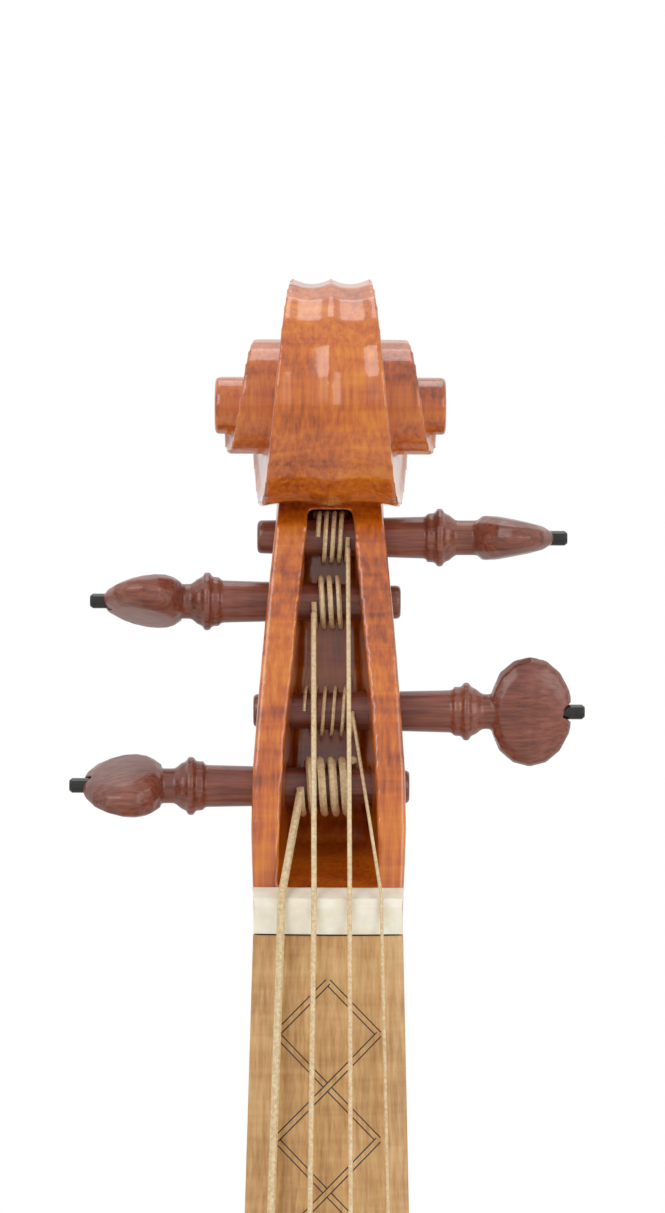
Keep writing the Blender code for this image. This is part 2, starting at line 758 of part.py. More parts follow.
def cavity_mesh():
    """Space inside the pegbox: (front height, back height, floor depth, front and floor width)."""
    rings = []
    for front_height, back_height, floor, half_front, half_floor in CAVITY_SECTIONS:
        slope = (back_height - front_height) / floor
        flare = (half_front - half_floor) / 25
        front_z = front_height - 5 * slope
        rings.append([
            (-(half_front + 5 * flare) * MM, -5 * MM, front_z * MM),
            ((half_front + 5 * flare) * MM, -5 * MM, front_z * MM),
            (half_floor * MM, floor * MM, back_height * MM),
            (-half_floor * MM, floor * MM, back_height * MM),
        ])
    return loft_mesh("pegbox_cavity", rings)


def neck_and_head():
    """Scroll, pegbox, neck and heel: one carved piece, hollowed and drilled for the pegs."""
    obj = add_piece("neck_and_head", head_mesh(), VARNISHED_MAPLE)
    mirror = obj.modifiers.new("other_half", "MIRROR")
    mirror.merge_threshold = 0.00001
    apply_boolean(obj, add_cutter("pegbox_cavity", cavity_mesh()))
    for peg in PEGS:
        name = "peg_hole_" + peg.string.name
        reach = 20 * MM
        mesh = cylinder_mesh(
            name, peg_radius(peg, -reach) + PEG_HOLE_GAP, (-peg.side * reach, peg.depth, peg.height),
            (peg.side * reach, peg.depth, peg.height), peg_radius(peg, reach) + PEG_HOLE_GAP,
        )
        apply_boolean(obj, add_cutter(name, mesh))
    for k in (1, 2, 3):
        apply_boolean(obj, bpy.data.objects[f"nail_hole_{k}"])
    return obj


def peg_radius(peg, along):
    """Radius of a peg's shaft at a distance from the middle, towards its head."""
    slope = (PEG_RADIUS_AT_CHEEK - PEG_RADIUS_AT_END) / (peg.cheek + peg.far_end)
    return PEG_RADIUS_AT_CHEEK + slope * (along - peg.cheek)


NAIL_DEPTH = 17 * MM
BLOCK_INNER_Z = BODY_TOP - OVERHANG - RIB_THICKNESS - SEAT_GAP - TOP_BLOCK_LENGTH
NAIL_TIP = BLOCK_INNER_Z + NAIL_LENGTH


def peg_head_mesh(peg):
    """Flattened peg head: a round disc that thins from its shoulder to its tip."""
    mesh_data = bmesh.new()
    bmesh.ops.create_uvsphere(mesh_data, u_segments=16, v_segments=8, radius=1.0)
    middle = peg.head + PEG_HEAD_LENGTH / 2
    for vert in mesh_data.verts:
        rim = math.hypot(vert.co.x, vert.co.y)
        along = vert.co.x * PEG_HEAD_LENGTH / 2
        share = (vert.co.x + 1) / 2
        thick = PEG_HEAD_THICKNESS + (PEG_HEAD_TIP - PEG_HEAD_THICKNESS) * share
        rise = math.copysign((1 - min(rim, 1.0) ** 5) ** 0.5, vert.co.z) if abs(vert.co.z) > 1e-6 else 0
        flat = max(along, -PEG_HEAD_LENGTH * 0.44)
        vert.co = (middle + flat, rise * thick / 2, vert.co.y * PEG_HEAD_WIDTH / 2)
    turn = Matrix.Rotation(peg.turned, 4, "X")
    bmesh.ops.transform(mesh_data, matrix=turn, verts=mesh_data.verts)
    bmesh.ops.remove_doubles(mesh_data, verts=mesh_data.verts, dist=0.00002)
    return finish_bmesh("peg_head", mesh_data)


def peg_shaft_mesh(peg):
    """Turned shaft with ring, flange and neck, along X from the far end to the head."""
    ring = peg.ring
    profile = [
        (-peg.far_end, 0.0), (-peg.far_end, peg_radius(peg, -peg.far_end) - 0.4 * MM),
        (-peg.far_end + 0.5 * MM, peg_radius(peg, -peg.far_end)), (ring, peg_radius(peg, ring)),
        (ring, PEG_RING_RADIUS), (ring + 1.5 * MM, PEG_RING_RADIUS),
        (ring + 1.7 * MM, PEG_FLANGE_RADIUS), (ring + 2.7 * MM, PEG_FLANGE_RADIUS),
        (ring + 3.0 * MM, PEG_RING_RADIUS), (ring + 3.9 * MM, PEG_RING_RADIUS * 0.93),
        (ring + 5.0 * MM, PEG_NECK_RADIUS), (peg.head + 1.6 * MM, PEG_NECK_RADIUS),
        (peg.head + 1.6 * MM, 0.0),
    ]
    sides = 16
    rings = []
    for along, radius in profile[1:-1]:
        angles = [2 * math.pi * k / sides for k in range(sides)]
        rings.append([(along, radius * math.cos(a), radius * math.sin(a)) for a in angles])
    return loft_mesh("peg_shaft", rings)


def build_peg(peg):
    """One peg on its hinge axis, with its pip and its winding of gut."""
    name = peg.string.name
    axis = bpy.data.objects.new("peg_axis_" + name, None)
    VIOLIN.objects.link(axis)
    axis.parent = NECK_FRAME
    axis.location = (0, peg.depth, peg.height)
    axis.rotation_euler = (0, 0, 0 if peg.side > 0 else math.pi)
    obj = add_piece("peg_" + name, peg_shaft_mesh(peg), FRUITWOOD, axis)
    head = add_cutter("peg_head_" + name, peg_head_mesh(peg))
    head.parent = axis
    apply_boolean(obj, head, "UNION")
    end = peg.head + PEG_HEAD_LENGTH
    hole = add_cutter(
        "pip_hole_" + name,
        cylinder_mesh("pip_hole", PIP_RADIUS + SEAT_GAP, (end - PIP_DEPTH, 0, 0), (end + 5 * MM, 0, 0), sides=16),
    )
    hole.parent = axis
    apply_boolean(obj, hole)
    pip_start = end - PIP_DEPTH + SEAT_GAP
    profile = [(0, end + PIP_PROUD), (PIP_RADIUS * 0.7, end + PIP_PROUD),
               (PIP_RADIUS, end + PIP_PROUD - 0.5 * MM), (PIP_RADIUS, pip_start), (0, pip_start)]
    pip = turned_object("peg_pip_" + name, [(r, h - end) for r, h in profile], EBONY, 14, axis)
    pip.location = (end, 0, 0)
    pip.rotation_euler = (0, math.pi / 2, 0)
    add_piece("winding_" + name, winding_mesh(peg), GUT)
    return obj


def winding_radius(peg):
    """Radius of the winding's middle line round the peg."""
    return PEG_RADIUS_AT_CHEEK + STRING_CLEARANCE + peg.string.radius


def winding_mesh(peg):
    """The string's turns on its peg: one unbroken helix that starts where the string arrives."""
    string = peg.string
    radius = winding_radius(peg)
    per_turn = 20
    count = round(string.turns * per_turn)
    points = []
    for k in range(count + 1):
        turn = -2 * math.pi * k / per_turn
        x = string.peg_x + (string.far_x - string.peg_x) * k / count
        points.append((x, peg.depth - radius * math.cos(turn), peg.height + radius * math.sin(turn)))
    vectors = [Vector(point) for point in points]
    least = min(
        (a - b).length
        for k, a in enumerate(vectors)
        for b in vectors[k + per_turn // 2:]
    )
    print(f"winding_{string.name}: least gap to itself {(least - 2 * string.radius) / MM:.2f} mm")
    return tube_mesh("winding_" + string.name, points, string.radius, 1)


def arc_drop(x, radius):
    """How far a round top has fallen at a distance from its middle."""
    return radius - math.sqrt(radius * radius - x * x)


def board_top(z):
    """Height of the fingerboard's middle in front of the neck's face."""
    share = (BOARD_TOP_Z - z) / BOARD_LENGTH
    return BOARD_HEIGHT_AT_NUT + (BOARD_HEIGHT_AT_END - BOARD_HEIGHT_AT_NUT) * share


def fingerboard():
    """Wedge-shaped core and the curved figured veneer on it."""
    across = [k / 8 for k in range(-8, 9)]
    end_z = BOARD_TOP_Z - BOARD_LENGTH
    stations = [BOARD_TOP_Z, BOARD_TOP_Z - NECK_STOP / 2, BODY_TOP + 4 * MM, BODY_TOP - 30 * MM,
                BODY_TOP - 60 * MM, end_z]
    veneer, core = [], []
    for z in stations:
        half = neck_half_width(z)
        top = [(s * half, -board_top(z) + arc_drop(s * half, BOARD_RADIUS), z) for s in across]
        veneer.append(top + [(x, y + BOARD_VENEER, z) for x, y, z in reversed(top)])
        over_body = max(0.0, (BODY_TOP + 4 * MM - z) / (BODY_TOP + 4 * MM - end_z))
        under = -SEAT_GAP - (BOARD_HEIGHT_AT_END - BOARD_END_THICKNESS) * over_body
        core_top = [(x, y + BOARD_VENEER + SEAT_GAP, z) for x, y, z in top]
        core.append(core_top + [(x, under, z) for x, y, z in reversed(top)])
    add_piece("fingerboard", loft_mesh("fingerboard", veneer), BOARD_MAPLE)
    add_piece("fingerboard_core", loft_mesh("fingerboard_core", core), VARNISHED_SPRUCE)


def nut():
    """Bone nut: curved top, bevelled towards the pegbox."""
    across = [k / 8 for k in range(-8, 9)]
    rings = []
    for z, height, half in (
        (0.0, NUT_HEIGHT - 3.2 * MM, NECK_HALF_WIDTH + 0.2 * MM),
        (-1.7 * MM, NUT_HEIGHT - 0.1 * MM, NECK_HALF_WIDTH - 0.1 * MM),
        (-3.2 * MM, NUT_HEIGHT, NECK_HALF_WIDTH - 0.2 * MM),
        (-NUT_LENGTH, NUT_HEIGHT - 0.6 * MM, NECK_HALF_WIDTH - 0.1 * MM),
    ):
        top = [(s * half, -height + arc_drop(s * half, BOARD_RADIUS), z) for s in across]
        rings.append([(x, min(y, -0.8 * MM), z) for x, y, z in top]
                     + [(x, -SEAT_GAP, z) for x, y, z in reversed(top)])
    add_piece("nut", loft_mesh("nut", rings), BONE)


def bridge_top(x):
    """Height of the bridge's top edge in front of the belly's edge plane."""
    return BELLY_ARCH + BRIDGE_HEIGHT - arc_drop(x, BRIDGE_TOP_RADIUS)


def string_route(peg):
    """Middle line of a string, from near its peg over nut and bridge into the tailpiece."""
    string = peg.string
    rise = STRING_CLEARANCE + string.radius
    nut_y = -(NUT_HEIGHT - arc_drop(string.nut_x, BOARD_RADIUS) + rise)
    nut_back = (string.nut_x, nut_y + 0.05 * MM, -1.5 * MM)
    nut_front = (string.nut_x, nut_y, -NUT_LENGTH + 3 * MM)
    centre = Vector((peg.depth, peg.height))
    radius = winding_radius(peg)
    corner = Vector((nut_back[1], nut_back[2]))
    run = corner - centre
    lean = math.acos(radius / run.length)
    heading = math.atan2(run.y, run.x)
    touch = centre + radius * Vector((math.cos(heading - lean), math.sin(heading - lean)))
    outside = radius + 2 * string.radius + SEAT_GAP
    back_off = math.sqrt(outside ** 2 - radius ** 2) + 0.3 * MM
    stop = touch + (corner - touch).normalized() * back_off
    bridge_y = -(bridge_top(string.bridge_x) + rise)
    tail_x, tail_y, tail_z = tail_hole(string)
    return [
        (string.peg_x, stop.x, stop.y),
        nut_back,
        nut_front,
        (string.bridge_x, bridge_y, BRIDGE_Z + 0.6 * MM),
        (string.bridge_x, bridge_y, BRIDGE_Z - 0.6 * MM),
        (tail_x, tail_y - TAILPIECE_THICKNESS / 2 - rise - 0.4 * MM, tail_z + 1.5 * MM),
        (tail_x, tail_y - TAILPIECE_THICKNESS / 2 - rise, tail_z + 0.3 * MM),
        (tail_x, tail_y, tail_z),
        (tail_x, tail_y + 3 * MM, tail_z),
    ]


TAIL_TOP_Z = BRIDGE_Z - AFTERLENGTH + 6 * MM
TAIL_BOTTOM_Z = TAIL_TOP_Z - TAILPIECE_LENGTH
TAIL_TOP_Y = -28 * MM
TAIL_BOTTOM_Y = -13 * MM


def tail_middle(z):
    """Middle depth of the tailpiece at a height."""
    share = (TAIL_TOP_Z - z) / TAILPIECE_LENGTH
    return TAIL_TOP_Y + (TAIL_BOTTOM_Y - TAIL_TOP_Y) * share


def tail_hole(string):
    """Place of a string's hole in the middle of the tailpiece's thickness."""
    x = string.bridge_x * 0.78
    z = BRIDGE_Z - AFTERLENGTH
    return x, tail_middle(z) + arc_drop(x, BRIDGE_TOP_RADIUS) * 0.6, z


def tailpiece():
    """Arched, tapering tailpiece with a hole for each string and two for the tailgut."""
    across = [k / 5 for k in range(-5, 6)]
    rings = []
    for share in (0.0, 0.06, 0.25, 0.5, 0.75, 0.94, 1.0):
        z = TAIL_TOP_Z - TAILPIECE_LENGTH * share
        half = (TAILPIECE_UPPER_WIDTH + (TAILPIECE_LOWER_WIDTH - TAILPIECE_UPPER_WIDTH) * share) / 2
        half -= 2.5 * MM if share in (0.0, 1.0) else 0.0
        middle = [(s * half, tail_middle(z) + arc_drop(s * half, BRIDGE_TOP_RADIUS) * 0.6, z) for s in across]
        thick = TAILPIECE_THICKNESS / 2
        rings.append([(x, y - thick, z) for x, y, z in middle]
                     + [(x, y + thick, z) for x, y, z in reversed(middle)])
    obj = add_piece("tailpiece", loft_mesh("tailpiece", rings), FRUITWOOD)
    for peg in PEGS:
        x, y, z = tail_hole(peg.string)
        radius = peg.string.radius + 0.5 * MM
        hole = cylinder_mesh("tail_hole", radius, (x, y - 8 * MM, z), (x, y + 8 * MM, z), sides=12)
        apply_boolean(obj, add_cutter("tail_hole_" + peg.string.name, hole))
    for side in (-1, 1):
        x, z = side * TAILGUT_SPREAD, TAILGUT_HOLE_Z
        y = tail_middle(z)
        radius = TAILGUT_RADIUS + 0.4 * MM
        hole = cylinder_mesh("gut_hole", radius, (x, y - 8 * MM, z), (x, y + 8 * MM, z), sides=12)
        apply_boolean(obj, add_cutter(f"gut_hole_{'bass' if side < 0 else 'treble'}", hole))


TAILGUT_SPREAD = 4.5 * MM
TAILGUT_HOLE_Z = TAIL_BOTTOM_Z + 6 * MM
BUTTON_DEPTH = (RIB_FRONT + RIB_BACK) / 2
BUTTON_GROOVE_Z = BODY_BOTTOM - 3.2 * MM
SADDLE_TOP = SADDLE_HEIGHT + 0.5 * MM


def tailgut():
    """Gut loop from the tailpiece over the saddle and round the end button."""
    half = []
    reach = BUTTON_SHANK_RADIUS + 0.6 * MM + TAILGUT_RADIUS + SEAT_GAP
    hole_y = tail_middle(TAILGUT_HOLE_Z)
    over = SADDLE_TOP + SEAT_GAP + TAILGUT_RADIUS
    edge_z = BODY_BOTTOM - SEAT_GAP - TAILGUT_RADIUS - 0.3 * MM
    for point in (
        (TAILGUT_SPREAD, hole_y - 3.3 * MM, TAILGUT_HOLE_Z + 0.2 * MM),
        (TAILGUT_SPREAD, hole_y, TAILGUT_HOLE_Z),
        (TAILGUT_SPREAD, hole_y + TAILPIECE_THICKNESS / 2 + 1.6 * MM, TAILGUT_HOLE_Z - 0.4 * MM),
        (TAILGUT_SPREAD + 0.2 * MM, -over - 0.5 * MM, BODY_BOTTOM + SADDLE_LENGTH * 0.7),
        (TAILGUT_SPREAD + 0.4 * MM, -over + 0.3 * MM, BODY_BOTTOM + 0.5 * MM),
        (TAILGUT_SPREAD + 0.6 * MM, -over + 2.2 * MM, edge_z - 0.2 * MM),
        (reach, BUTTON_DEPTH - 6 * MM, BUTTON_GROOVE_Z - 1.0 * MM),
    ):
        half.append(point)
    steps = 8
    loop = [
        (reach * math.cos(math.pi * k / steps), BUTTON_DEPTH + reach * math.sin(math.pi * k / steps),
         BUTTON_GROOVE_Z - 1.2 * MM)
        for k in range(steps + 1)
    ]
    other = [(-x, y, z) for x, y, z in reversed(half)]
    add_piece("tailgut", tube_mesh("tailgut", half + loop + other, TAILGUT_RADIUS), GUT)


def end_button():
    """Turned end button: shank through the rib into the block, groove, head with a flat face."""
    shank_top = BODY_BOTTOM + OVERHANG + RIB_THICKNESS + 9 * MM
    head_z = BUTTON_GROOVE_Z - 3.2 * MM
    profile = [
        (0, shank_top), (BUTTON_SHANK_RADIUS - 0.5 * MM, shank_top),
        (BUTTON_SHANK_RADIUS, BODY_BOTTOM + OVERHANG - SEAT_GAP),
        (BUTTON_SHANK_RADIUS + 0.6 * MM, BUTTON_GROOVE_Z),
        (BUTTON_SHANK_RADIUS + 0.6 * MM, head_z + 0.8 * MM), (BUTTON_HEAD_RADIUS, head_z),
        (BUTTON_HEAD_RADIUS, head_z - 3 * MM), (BUTTON_FACE_RADIUS, head_z - 5 * MM),
        (0, head_z - 5 * MM),
    ]
    obj = turned_object("end_button", [(r, z - BODY_BOTTOM) for r, z in profile], FRUITWOOD)
    obj.location = (0, BUTTON_DEPTH, BODY_BOTTOM)


def bridge():
    """Carved bridge: two feet, waist, heart and side openings, thinner towards the strings."""
    half = BRIDGE_WIDTH / 2
    foot = 11.5 * MM
    low = BELLY_ARCH
    right = [
        *[(foot - 3 * MM + (half - foot + 3 * MM) * k / 6, low - 4 * MM) for k in range(7)],
        (half, low + 2.2 * MM),
        (half - 3 * MM, low + 4.5 * MM), (half - 5 * MM, low + 8.5 * MM),
        (half - 9.5 * MM, low + 10.5 * MM), (half - 9.5 * MM, low + 13 * MM),
        (half - 5 * MM, low + 13.5 * MM), (half - 2.2 * MM, low + 16 * MM), (half - 1.2 * MM, low + 19.5 * MM),
    ]
    top = [(x * MM, bridge_top(x * MM)) for x in (18, 12, 6, 0)]
    arch = [(0, low + 5.5 * MM), (5 * MM, low + 4.2 * MM), (foot - 3 * MM, low + 1.5 * MM)]
    outline = arch + right + top
    outline += [(-x, height) for x, height in reversed(outline[1:-1])]
    heart = [(0, 12.5), (1.8, 14.5), (2.9, 17), (2.2, 18.8), (0.9, 18.6), (0, 17.4)]
    heart = [(x * MM, low + height * MM) for x, height in heart]
    heart += [(-x, height) for x, height in reversed(heart[1:-1])]
    mesh = flat_mesh("bridge", [outline, heart], -BRIDGE_FOOT_THICKNESS / 2, BRIDGE_FOOT_THICKNESS / 2)
    return mesh


def surface_y(tree, x, z, from_y, to_y):
    """Depth at which a line along Y first meets a plate."""
    direction = Vector((0, 1 if to_y > from_y else -1, 0))
    hit = tree.ray_cast(Vector((x, from_y, z)), direction)[0]
    return hit.y


def place_bridge(belly_tree):
    """Stand the bridge on the belly: its feet are carved to the arch."""
    mesh = bridge()
    mesh_data = bmesh.new()
    mesh_data.from_mesh(mesh)
    foot_line = BELLY_ARCH - 4 * MM
    span = BRIDGE_HEIGHT
    for vert in mesh_data.verts:
        x, thick, height = vert.co
        share = max(0.0, min(1.0, (height - BELLY_ARCH) / span))
        scale = 1 + (BRIDGE_TOP_THICKNESS / BRIDGE_FOOT_THICKNESS - 1) * share
        vert.co = (x, -height, BRIDGE_Z + thick * scale)
        if height < foot_line + 0.1 * MM:
            y = surface_y(belly_tree, x, vert.co.z, -60 * MM, 0)
            vert.co.y = y - 1.3 * SEAT_GAP
    mesh_data.to_mesh(mesh)
    mesh_data.free()
    bmesh_again = bmesh.new()
    bmesh_again.from_mesh(mesh)
    bmesh.ops.recalc_face_normals(bmesh_again, faces=bmesh_again.faces)
    bmesh_again.to_mesh(mesh)
    bmesh_again.free()
    add_piece("bridge", mesh, BRIDGE_MAPLE)


def corner_block(bout, mirror):
    """Outline of a corner block between two bouts."""
    inner = OVERHANG + RIB_THICKNESS + SEAT_GAP
    upper, centre, lower = rib_lines(inner)
    if bout == "upper":
        first, second = cut_at(upper, centre), cut_at(centre[::-1], upper)
    else:
        first, second = cut_at(lower[::-1], centre[::-1]), cut_at(centre, lower)
    corner = Vector(first[-1])
    kept = []
    for line in (first, second):
        near = [p for p in line if (Vector(p) - corner).length < CORNER_BLOCK_REACH]
        kept.append(near)
    return placed(kept[0] + kept[1][::-1][1:], mirror)


def end_block(line, width, length, mirror_z):
    """Outline of the top or bottom block inside the ribs' end."""
    inner = [(x, down) for x, down in line if abs(x) <= width / 2]
    left = [(-x, down) for x, down in reversed(inner) if x > 0.1 * MM]
    middle_down = line[0][1]
    far = middle_down + mirror_z * length
    side = inner[-1][0]
    outline = left + inner + [(side, far), (-side, far)]
    return placed(outline)


def ribs_and_linings():
    """Six ribs, and two linings inside each, between the blocks."""
    line_near = OVERHANG + RIB_THICKNESS + SEAT_GAP
    for mirror in (False, True):
        side = "bass" if mirror else "treble"
        for bout in ("upper", "centre", "lower"):
            rib = strip_outline(bout, OVERHANG, OVERHANG + RIB_THICKNESS, OVERHANG, line_near)
            obj = add_piece(
                f"rib_{bout}_{side}",
                flat_mesh("rib", [placed(rib, mirror)], RIB_FRONT, RIB_BACK), VARNISHED_MAPLE,
            )
            if bout == "lower":
                apply_boolean(obj, bpy.data.objects["button_hole"])
            if bout == "upper":
                for k in (1, 2, 3):
                    apply_boolean(obj, bpy.data.objects[f"nail_hole_{k}"])
            near = lining_line(bout, line_near)
            far = lining_line(bout, line_near + LINING_WIDTH)
            outline = placed(near + far[::-1], mirror)
            for word, front, back in (
                ("front", RIB_FRONT, RIB_FRONT + LINING_HEIGHT), ("back", RIB_BACK - LINING_HEIGHT, RIB_BACK),
            ):
                add_piece(f"lining_{word}_{bout}_{side}", flat_mesh("lining", [outline], front, back), BARE_SPRUCE)


def lining_line(bout, distance):
    """The stretch of a lining between the blocks, at one inset."""
    upper, centre, lower = rib_lines(distance)
    clear = 1.5 * MM
    corner_up, corner_low = Vector(UPPER[-1]), Vector(LOWER[0])
    reach = CORNER_BLOCK_REACH + 5 * MM
    if bout == "upper":
        start = TOP_BLOCK_WIDTH / 2 + clear
        return [p for p in upper if p[0] > start and (Vector(p) - corner_up).length > reach]
    if bout == "lower":
        start = BOTTOM_BLOCK_WIDTH / 2 + clear
        return [p for p in lower if p[0] > start and (Vector(p) - corner_low).length > reach]
    return [
        p for p in centre
        if (Vector(p) - corner_up).length > reach - 4 * MM and (Vector(p) - corner_low).length > reach - 4 * MM
    ]


def blocks():
    """Top, bottom and four corner blocks."""
    inner = OVERHANG + RIB_THICKNESS + SEAT_GAP
    upper, _, lower = rib_lines(inner)
    top = add_piece(
        "top_block",
        flat_mesh("top_block", [end_block(upper, TOP_BLOCK_WIDTH, TOP_BLOCK_LENGTH, 1)], RIB_FRONT, RIB_BACK),
        BARE_SPRUCE,
    )
    for k in (1, 2, 3):
        apply_boolean(top, bpy.data.objects[f"nail_hole_{k}"])
    bottom = add_piece(
        "bottom_block",
        flat_mesh("bottom_block", [end_block(lower[::-1], BOTTOM_BLOCK_WIDTH, BOTTOM_BLOCK_LENGTH, -1)],
                  RIB_FRONT, RIB_BACK),
        BARE_SPRUCE,
    )
    apply_boolean(bottom, bpy.data.objects["button_hole"])
    for mirror in (False, True):
        side = "bass" if mirror else "treble"
        for bout in ("upper", "lower"):
            mesh = flat_mesh("corner_block", [corner_block(bout, mirror)], RIB_FRONT, RIB_BACK)
            add_piece(f"corner_block_{bout}_{side}", mesh, BARE_SPRUCE)


def nails():
    """Three iron nails through the top block into the heel, their heads inside the body."""
    for k in (-1, 0, 1):
        x = k * NAIL_SPACING
        head_z = BLOCK_INNER_Z - SEAT_GAP
        profile = [(0, NAIL_TIP - SEAT_GAP), (NAIL_RADIUS, NAIL_TIP - 4 * MM), (NAIL_RADIUS, head_z),
                   (NAIL_HEAD_RADIUS, head_z), (NAIL_HEAD_RADIUS * 0.8, head_z - NAIL_HEAD_HEIGHT),
                   (0, head_z - NAIL_HEAD_HEIGHT)]
        nail = turned_object(f"neck_nail_{k + 2}", [(r, z - head_z) for r, z in profile], IRON, 10)
        nail.location = (x, NAIL_DEPTH, head_z)


def body():
    """The sound box: plates, ribs, linings, blocks, bass bar, sound post and saddle."""
    for k in (-1, 0, 1):
        mesh = cylinder_mesh(
            "nail_hole", NAIL_RADIUS + SEAT_GAP, (k * NAIL_SPACING, NAIL_DEPTH, BODY_TOP - 30 * MM),
            (k * NAIL_SPACING, NAIL_DEPTH, NAIL_TIP + SEAT_GAP), sides=12,
        )
        add_cutter(f"nail_hole_{k + 2}", mesh)
    add_cutter("button_hole", cylinder_mesh(
        "button_hole", BUTTON_SHANK_RADIUS + 2 * SEAT_GAP, (0, BUTTON_DEPTH, BODY_BOTTOM - 5 * MM),
        (0, BUTTON_DEPTH, BODY_BOTTOM + OVERHANG + RIB_THICKNESS + 10 * MM), sides=20,
    ))
    belly = add_piece("belly", plate_mesh("belly", 0.0, -1, BELLY_ARCH, BELLY_THICKNESS), VARNISHED_SPRUCE)
    back = add_piece("back", plate_mesh("back", BACK_EDGE, 1, BACK_ARCH, BACK_THICKNESS), VARNISHED_MAPLE)
    belly_tree = BVHTree.FromObject(belly, bpy.context.evaluated_depsgraph_get())
    back_tree = BVHTree.FromObject(back, bpy.context.evaluated_depsgraph_get())
    for cutter in f_hole_cutters():
        apply_boolean(belly, cutter)
    notch_half = neck_half_width(BODY_TOP) + SEAT_GAP
    notch = flat_mesh("neck_notch", [[(-notch_half, BODY_TOP + 5 * MM), (notch_half, BODY_TOP + 5 * MM),
                                      (notch_half, BODY_TOP - OVERHANG - SEAT_GAP),
                                      (-notch_half, BODY_TOP - OVERHANG - SEAT_GAP)]], -10 * MM, 10 * MM)
    apply_boolean(belly, add_cutter("neck_notch", notch))
    saddle_half = SADDLE_WIDTH / 2 + SEAT_GAP
    saddle_top = BODY_BOTTOM + SADDLE_LENGTH + SEAT_GAP
    recess = flat_mesh("saddle_recess", [[(-saddle_half, BODY_BOTTOM - 5 * MM), (saddle_half, BODY_BOTTOM - 5 * MM),
                                          (saddle_half, saddle_top), (-saddle_half, saddle_top)]],
                       -10 * MM, EDGE_THICKNESS - 1.5 * MM)
    apply_boolean(belly, add_cutter("saddle_recess", recess))
    button_z = BODY_TOP + BUTTON_REACH - BUTTON_RADIUS
    disc = cylinder_mesh("back_button", BUTTON_RADIUS, (0, BACK_INNER, button_z), (0, BACK_EDGE, button_z), sides=28)
    apply_boolean(back, add_cutter("back_button", disc), "UNION")
    blocks()
    ribs_and_linings()
    nails()
    sound_post(belly_tree, back_tree)
    bass_bar(belly_tree)
    saddle()
    place_bridge(belly_tree)


def saddle():
    """Ebony saddle let into the belly's lower edge."""
    half = SADDLE_WIDTH / 2
    low = EDGE_THICKNESS - 1.5 * MM - SEAT_GAP
    front = SADDLE_TOP
    section = [(0.0, -front * 0.75), (1.2 * MM, -front), (3.2 * MM, -front), (SADDLE_LENGTH, -1.2 * MM),
               (SADDLE_LENGTH, low), (0.0, low)]
    rings = []
    for share in (-1.0, -0.55, 0.0, 0.55, 1.0):
        squat = 0.35 if abs(share) == 1.0 else 1.0
        rings.append([(share * half, y * squat if y < 0 else y, BODY_BOTTOM + OVERHANG * 0.3 + run * 0.88)
                      for run, y in section])
    add_piece("saddle", loft_mesh("saddle", rings), EBONY)


def sound_post(belly_tree, back_tree):
    """Round post between belly and back, behind the bridge's treble foot."""
    x, z = SOUND_POST_OFFSET, BRIDGE_Z - SOUND_POST_SETBACK
    around = [(x + SOUND_POST_RADIUS * math.cos(k), z + SOUND_POST_RADIUS * math.sin(k)) for k in range(7)]
    front = max(surface_y(belly_tree, px, pz, BACK_INNER / 2, -60 * MM) for px, pz in around) + SEAT_GAP
    back = min(surface_y(back_tree, px, pz, BACK_INNER / 2, 90 * MM) for px, pz in around) - SEAT_GAP
    mesh = cylinder_mesh("sound_post", SOUND_POST_RADIUS, (x, front, z), (x, back, z), sides=16)
    add_piece("sound_post", mesh, BARE_SPRUCE)


def bass_bar(belly_tree):
    """Long spruce bar under the belly, under the bridge's bass foot."""
    middle = BRIDGE_Z
    steps = 14
    rings = []
    for k in range(steps + 1):
        share = 2 * k / steps - 1
        z = middle - share * BASS_BAR_LENGTH / 2
        x = -BASS_BAR_OFFSET - 4 * MM * share
        half = BASS_BAR_WIDTH / 2
        tops = [surface_y(belly_tree, px, z, BACK_INNER / 2, -60 * MM) + 0.4 * MM for px in (x - half, x + half)]
        height = 3 * MM + (BASS_BAR_HEIGHT - 3 * MM) * math.cos(share * math.pi / 2)
        low = max(tops) + height
        rings.append([(x - half, tops[0], z), (x + half, tops[1], z), (x + half, low, z), (x - half, low, z)])
    add_piece("bass_bar", loft_mesh("bass_bar", rings), BARE_SPRUCE)


def build_violin():
    """Build every piece of the violin."""
    body()
    neck_and_head()
    fingerboard()
    nut()
    for peg in PEGS:
        build_peg(peg)
        string = peg.string
        add_piece("string_" + string.name, tube_mesh("string", string_route(peg), string.radius), GUT)
    tailpiece()
    tailgut()
    end_button()


build_violin()
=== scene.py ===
"""Looks of the baroque violin: finishes, smooth carved surfaces, inlay, camera and light."""

import logging
import math
from dataclasses import dataclass
from enum import Enum

import bmesh
import bpy
from mathutils import Matrix, Vector
from mathutils.bvhtree import BVHTree


